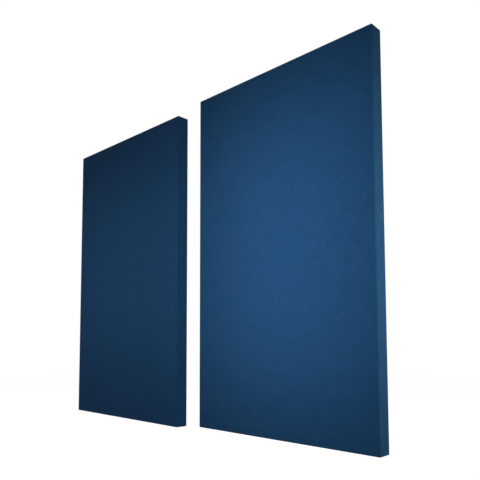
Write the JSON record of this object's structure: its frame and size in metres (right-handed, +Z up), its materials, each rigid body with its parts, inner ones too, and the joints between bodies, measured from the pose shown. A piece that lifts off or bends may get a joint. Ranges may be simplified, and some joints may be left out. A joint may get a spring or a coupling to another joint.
{
  "type": "acoustic panel",
  "caption": "Pair of tall flat fabric-wrapped acoustic panels, hung proud of a wall on interlocking Z-clips and lifted off for moving.",
  "frame": {"origin": "on the wall plane, in the middle of the pair, half way up it", "axes": "+Z up, +X to the right as seen from the front, +Y into the wall; the fronts face -Y"},
  "size_m": [1.305, 0.0476, 1.013],
  "materials": {
    "blue_acoustic_cloth": "matt woven polyester cloth, stretched",
    "black_scrim": "thin black non-woven back cloth",
    "mineral_wool": "dense mineral-wool board with a fibrous face",
    "planed_pine": "planed and sanded softwood",
    "birch_plywood": "thin plywood, raw",
    "zinc_plated_steel": "zinc-plated screws",
    "mill_aluminium": "extruded, mill finish",
    "black_rubber": "moulded rubber"
  },
  "bodies": {
    "wall_clips": {"left_panel_left_wall_clip": "mill_aluminium", "left_panel_right_wall_clip": "mill_aluminium", "right_panel_left_wall_clip": "mill_aluminium", "right_panel_right_wall_clip": "mill_aluminium"},
    "left_panel": {"left_panel_back_cloth": "black_scrim", "left_panel_bottom_left_gusset": "birch_plywood", "left_panel_bottom_rail": "planed_pine", "left_panel_bottom_right_gusset": "birch_plywood", "left_panel_core_board": "mineral_wool", "left_panel_cross_brace": "birch_plywood", "left_panel_fabric_cover": "blue_acoustic_cloth", "left_panel_left_brace_screw": "zinc_plated_steel", "left_panel_left_bumper": "black_rubber", "left_panel_left_clip": "mill_aluminium", "left_panel_left_clip_screw_1": "zinc_plated_steel", "left_panel_left_clip_screw_2": "zinc_plated_steel", "left_panel_left_stile": "planed_pine", "left_panel_right_brace_screw": "zinc_plated_steel", "left_panel_right_bumper": "black_rubber", "left_panel_right_clip": "mill_aluminium", "left_panel_right_clip_screw_1": "zinc_plated_steel", "left_panel_right_clip_screw_2": "zinc_plated_steel", "left_panel_right_stile": "planed_pine", "left_panel_top_left_gusset": "birch_plywood", "left_panel_top_rail": "planed_pine", "left_panel_top_right_gusset": "birch_plywood"},
    "right_panel": {"right_panel_back_cloth": "black_scrim", "right_panel_bottom_left_gusset": "birch_plywood", "right_panel_bottom_rail": "planed_pine", "right_panel_bottom_right_gusset": "birch_plywood", "right_panel_core_board": "mineral_wool", "right_panel_cross_brace": "birch_plywood", "right_panel_fabric_cover": "blue_acoustic_cloth", "right_panel_left_brace_screw": "zinc_plated_steel", "right_panel_left_bumper": "black_rubber", "right_panel_left_clip": "mill_aluminium", "right_panel_left_clip_screw_1": "zinc_plated_steel", "right_panel_left_clip_screw_2": "zinc_plated_steel", "right_panel_left_stile": "planed_pine", "right_panel_right_brace_screw": "zinc_plated_steel", "right_panel_right_bumper": "black_rubber", "right_panel_right_clip": "mill_aluminium", "right_panel_right_clip_screw_1": "zinc_plated_steel", "right_panel_right_clip_screw_2": "zinc_plated_steel", "right_panel_right_stile": "planed_pine", "right_panel_top_left_gusset": "birch_plywood", "right_panel_top_rail": "planed_pine", "right_panel_top_right_gusset": "birch_plywood"}
  },
  "joints": [
    {"name": "left_panel_lift", "type": "slide", "parent": "wall_clips", "child": "left_panel", "axis": [0, 0, 1], "range_m": [0, 0.014]},
    {"name": "right_panel_lift", "type": "slide", "parent": "wall_clips", "child": "right_panel", "axis": [0, 0, 1], "range_m": [0, 0.014]}
  ]
}
